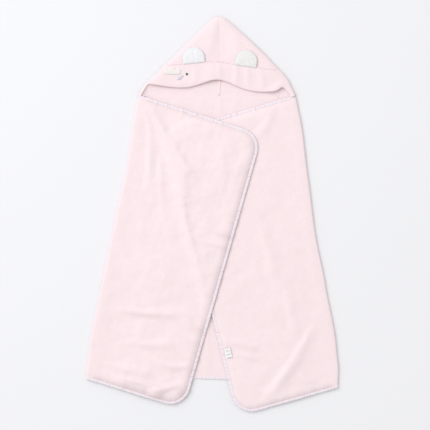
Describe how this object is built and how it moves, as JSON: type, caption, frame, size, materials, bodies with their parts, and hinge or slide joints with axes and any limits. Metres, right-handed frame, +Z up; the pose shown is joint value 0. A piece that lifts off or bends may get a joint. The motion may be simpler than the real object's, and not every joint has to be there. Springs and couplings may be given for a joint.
{
  "type": "hooded baby towel",
  "caption": "Pink velour baby towel with a pointed hood, white ears and turned-back brim, laid flat as a cape; its two bound side flaps, hood, ears and label fold open.",
  "frame": {"origin": "centre of the laid towel's outline, on the surface it lies on", "axes": "+X to the right as seen from above, +Y from the hem towards the hood's tip, +Z up from the back to the folded front"},
  "size_m": [0.6371, 0.9885, 0.0183],
  "materials": {
    "towel": "pale pink cotton velour with a short soft pile",
    "binding": "white and lilac-grey woven tape with small red-brown ticks",
    "ear": "white plush",
    "seam": "pink overlocked seam",
    "label": "white woven satin tape with plain grey bars",
    "embroidery_cream": "cream satin-stitch embroidery",
    "embroidery_grey": "lilac-grey satin-stitch embroidery",
    "embroidery_green": "green satin-stitch embroidery"
  },
  "bodies": {
    "back": {"back_panel": "towel", "back_hem_binding": "binding", "neck_seam": "seam", "left_fold": "towel", "left_fold_binding": "binding", "right_fold": "towel", "right_fold_binding": "binding"},
    "left_flap": {"left_flap": "towel", "left_flap_binding": "binding"},
    "right_flap": {"right_flap": "towel", "right_flap_binding": "binding"},
    "hood": {"hood_left_half": "towel", "hood_right_half": "towel", "brim_band_left": "towel", "brim_band_right": "towel", "crown_seam": "seam", "motif_cloud": "embroidery_cream", "motif_leaf": "embroidery_grey", "motif_dot": "embroidery_green"},
    "left_ear": {"left_ear_front": "ear", "left_ear_back": "ear"},
    "right_ear": {"right_ear_front": "ear", "right_ear_back": "ear"},
    "label": {"care_label": "label"}
  },
  "joints": [
    {"name": "left_flap_open", "type": "hinge", "parent": "back", "child": "left_flap", "pos_m": [-0.176, 0.294, 0.005], "axis": [-0.1873, -0.9823, 0], "range_deg": [0, 176], "deforming": ["left_fold", "left_fold_binding"]},
    {"name": "right_flap_open", "type": "hinge", "parent": "back", "child": "right_flap", "pos_m": [0.208, 0.294, 0.00325], "axis": [-0.149, 0.9888, 0], "range_deg": [0, 176], "deforming": ["right_fold", "right_fold_binding", "right_flap", "right_flap_binding"]},
    {"name": "hood_fold", "type": "hinge", "parent": "back", "child": "hood", "pos_m": [0, 0.294, 0.013], "axis": [1, 0, 0], "range_deg": [0, 165]},
    {"name": "left_ear_flop", "type": "hinge", "parent": "hood", "child": "left_ear", "pos_m": [-0.042, 0.37823, 0.0184], "axis": [0.9948, 0.1019, 0], "range_deg": [0, 178]},
    {"name": "right_ear_flop", "type": "hinge", "parent": "hood", "child": "right_ear", "pos_m": [0.086, 0.37017, 0.0184], "axis": [0.9893, -0.1457, 0], "range_deg": [0, 178]},
    {"name": "label_flip", "type": "hinge", "parent": "right_flap", "child": "label", "pos_m": [0.036, -0.35031, 0.0077], "axis": [0.2432, -0.97, 0], "range_deg": [0, 170]}
  ]
}
